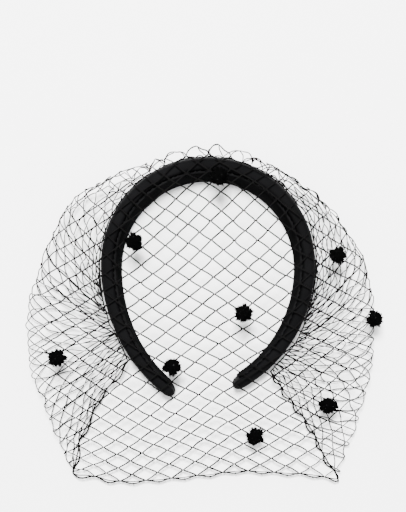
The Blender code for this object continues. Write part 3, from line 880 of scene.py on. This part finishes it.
# Chenille dots: fuzzy black pads, about 11 mm across with their pile, wound from chenille and glued to knots
# of the net. Each has a lobed core, and its pile stands out all round in short pointed clumps.
DOT_DIAMETER = 10.8 * MM
DOT_HEIGHT = 8.4 * MM
DOT_CORE = 0.71
CORE_ROWS = 18
CORE_COLUMNS = 28
LOBE_COUNT = 12
LOBE_STRAY = 0.3
LOBE_RISES = (0.5, 1.15)
LOBE_RISE = 0.42
LOBE_SPREAD = 0.10
CLUMP_COUNT = 90
CLUMP_STRAY = 0.10
CLUMP_LENGTHS = (0.2, 1.4)
CLUMP_PULL = 0.75
TUFT_COUNT = 2200
TUFT_ROOT = 0.93
TUFT_REACH = 0.42
TUFT_LENGTHS = (0.4, 1.0)
TUFT_LEAN = 0.05
TUFT_WIDTH = 0.26 * MM
TUFT_SIDES = 3
TUFT_ASIDE = Vector((0.2, 0.5, 0.8))
GOLDEN_TURN = math.pi * (3.0 - math.sqrt(5.0))
# The pile is black; its few sparse light specks are painted glints, set by the lighter colour and range below
PILE_BLACK = (0.0003, 0.0003, 0.0003, 1.0)
PILE_PAINTED_GLINT = (0.050, 0.050, 0.052, 1.0)
PILE_NOISE = {"Scale": 900.0, "Detail": 2.0}
PAINTED_GLINT_RANGE = (0.70, 0.78)
PILE_RELIEF = 0.15 * MM
PILE_ROUGHNESS = 0.95
PILE_GLOSS = 0.02
# Share across the net from its left end, and row
DOTS = (
    (0.520, 0.177),
    (0.338, 0.327),
    (0.747, 0.390),
    (0.785, 0.563),
    (0.552, 0.524),
    (0.199, 0.634),
    (0.410, 0.660),
    (0.693, 0.792),
    (0.548, 0.874),
)


def spread_out(number, count):
    """One of count directions that are spread evenly all round."""
    height = 1.0 - 2.0 * (number + 0.5) / count
    ring = math.sqrt(1.0 - height * height)
    return Vector((ring * math.cos(GOLDEN_TURN * number), ring * math.sin(GOLDEN_TURN * number), height))


def strayed(luck, direction, stray):
    """A direction that has strayed a little from where it pointed."""
    return direction + Vector(luck.gauss(0.0, stray) for _ in range(3))


def chenille_dot(name, seat, facing, seed):
    """One dot: a wound core that bulges in lobes, with tapered tufts of pile standing out of it."""
    luck = random.Random(seed)
    turn = facing.to_track_quat("Z", "Y").to_matrix()
    half = Vector((DOT_DIAMETER / 2, DOT_DIAMETER / 2, DOT_HEIGHT / 2))
    centre = seat + facing * (NET_BAR / 2 + FIT_GAP + DOT_HEIGHT / 2)
    lobes = []
    for k in range(LOBE_COUNT):
        lobe = strayed(luck, spread_out(k, LOBE_COUNT), LOBE_STRAY)
        lobes.append((lobe.normalized(), luck.uniform(*LOBE_RISES)))
    clumps = []
    for k in range(CLUMP_COUNT):
        clump = strayed(luck, spread_out(k, CLUMP_COUNT), CLUMP_STRAY)
        clumps.append((clump.normalized(), luck.uniform(*CLUMP_LENGTHS)))

    def surface(direction, share):
        swell = max(rise * math.exp((direction.dot(lobe) - 1.0) / LOBE_SPREAD) for lobe, rise in lobes)
        local = Vector(d * h for d, h in zip(direction, half)) * (share + LOBE_RISE * swell)
        return centre + turn @ local

    points, faces = [], []
    for k in range(CORE_ROWS + 1):
        for m in range(CORE_COLUMNS):
            polar, angle = math.pi * k / CORE_ROWS, 2 * math.pi * m / CORE_COLUMNS
            ring = math.sin(polar)
            direction = Vector((ring * math.cos(angle), ring * math.sin(angle), math.cos(polar)))
            points.append(surface(direction, DOT_CORE))
    for k in range(CORE_ROWS):
        for m in range(CORE_COLUMNS):
            here, below, across = k * CORE_COLUMNS, (k + 1) * CORE_COLUMNS, (m + 1) % CORE_COLUMNS
            faces.append((here + m, below + m, below + across, here + across))
    for k in range(TUFT_COUNT):
        direction = spread_out(k, TUFT_COUNT)
        lean = strayed(luck, Vector(), TUFT_LEAN)
        clump, stretch = max(clumps, key=lambda each: direction.dot(each[0]))
        root = surface(direction, DOT_CORE * TUFT_ROOT)
        pointing = (direction.lerp(clump, CLUMP_PULL) + lean).normalized()
        tip = surface(pointing, DOT_CORE + TUFT_REACH * stretch * luck.uniform(*TUFT_LENGTHS))
        stem = (tip - root).normalized()
        side = stem.cross(TUFT_ASIDE).normalized() * TUFT_WIDTH
        other = stem.cross(side)
        first = len(points)
        for spin in range(TUFT_SIDES):
            angle = 2 * math.pi * spin / TUFT_SIDES
            points.append(root + side * math.cos(angle) + other * math.sin(angle))
        points.append(tip)
        for spin in range(TUFT_SIDES):
            faces.append((first + spin, first + (spin + 1) % TUFT_SIDES, first + TUFT_SIDES))
    return thread_piece(name, points, faces)


pile = Finish("chenille", PILE_GLOSS)
tuft = pile.spot().noise(PILE_NOISE)
# Painted glints: sparse light specks where the pile noise passes a narrow range, on otherwise black pile
pile.colour(tuft.between(*PAINTED_GLINT_RANGE).tint(PILE_BLACK, PILE_PAINTED_GLINT))
pile.roughness(PILE_ROUGHNESS)
pile.relief(tuft, PILE_RELIEF)
for number, (share, row) in enumerate(DOTS, 1):
    seat = veil_point(share, row)
    across = veil_point(share + STEP, row) - veil_point(share - STEP, row)
    down = veil_point(share, row + STEP) - veil_point(share, row - STEP)
    dot = chenille_dot(f"chenille_dot_{number:02d}", seat, down.cross(across).normalized(), number)
    pile.wear(dot)
    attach(dot, "root")
    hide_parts(f"dot_{number:02d}")

# Surface: a plain pale table top that the headband lies on. It is matt and without pattern, and reaches past
# the picture on all sides.
FLOOR_SIZE = 6.0
FLOOR_DROP = 0.3 * MM
FLOOR_PALE = (0.90, 0.90, 0.90, 1.0)
FLOOR_ROUGHNESS = 0.9
FLOOR_GLOSS = 0.1

reach = FLOOR_SIZE / 2
points = [Vector((x * reach, y * reach, -FLOOR_DROP)) for x, y in ((-1, -1), (1, -1), (1, 1), (-1, 1))]
floor = thread_piece("pale_table_top", points, [(0, 1, 2, 3)])
table_top = Finish("table_top", FLOOR_GLOSS)
table_top.colour(FLOOR_PALE)
table_top.roughness(FLOOR_ROUGHNESS)
table_top.wear(floor)

# Light: a soft overcast sky all round, and one broad lamp above, a little to the crown's side, which lays a
# faint shadow inside the band's arch.
SKY_STRENGTH = 1.9
LAMP_POWER = 155.0
LAMP_SIZE = 0.34
LAMP_PLACE = Vector((-0.05, 0.52, 1.6))

sky = bpy.data.worlds.new("overcast")
sky.use_nodes = True
background = sky.node_tree.nodes["Background"]
background.inputs["Color"].default_value = (1.0, 1.0, 1.0, 1.0)
background.inputs["Strength"].default_value = SKY_STRENGTH
bpy.context.scene.world = sky
lamp_data = bpy.data.lights.new("broad_lamp", "AREA")
lamp_data.energy = LAMP_POWER
lamp_data.size = LAMP_SIZE
lamp = bpy.data.objects.new("broad_lamp", lamp_data)
lamp.location = LAMP_PLACE
lamp.rotation_euler = (-LAMP_PLACE).to_track_quat("-Z", "Y").to_euler()
bpy.context.scene.collection.objects.link(lamp)

# Camera: straight above the headband, as in the picture, which is 406 by 512 pixels, and 0.9 m away from the
# middle of its height.
PICTURE_HEIGHT = 512
PIXEL = 0.68 * MM
CAMERA_DISTANCE = 0.9
FOCUS_HEIGHT = 20.0 * MM
PICTURE_MIDDLE = Vector((0.2 * MM, 40.2 * MM, FOCUS_HEIGHT))

camera_data = bpy.data.cameras.new("overhead_camera")
camera_data.sensor_fit = "VERTICAL"
camera_data.lens = camera_data.sensor_height * CAMERA_DISTANCE / (PICTURE_HEIGHT * PIXEL)
camera = bpy.data.objects.new("overhead_camera", camera_data)
camera.location = PICTURE_MIDDLE + Vector((0.0, 0.0, CAMERA_DISTANCE))
bpy.context.scene.collection.objects.link(camera)
bpy.context.scene.camera = camera
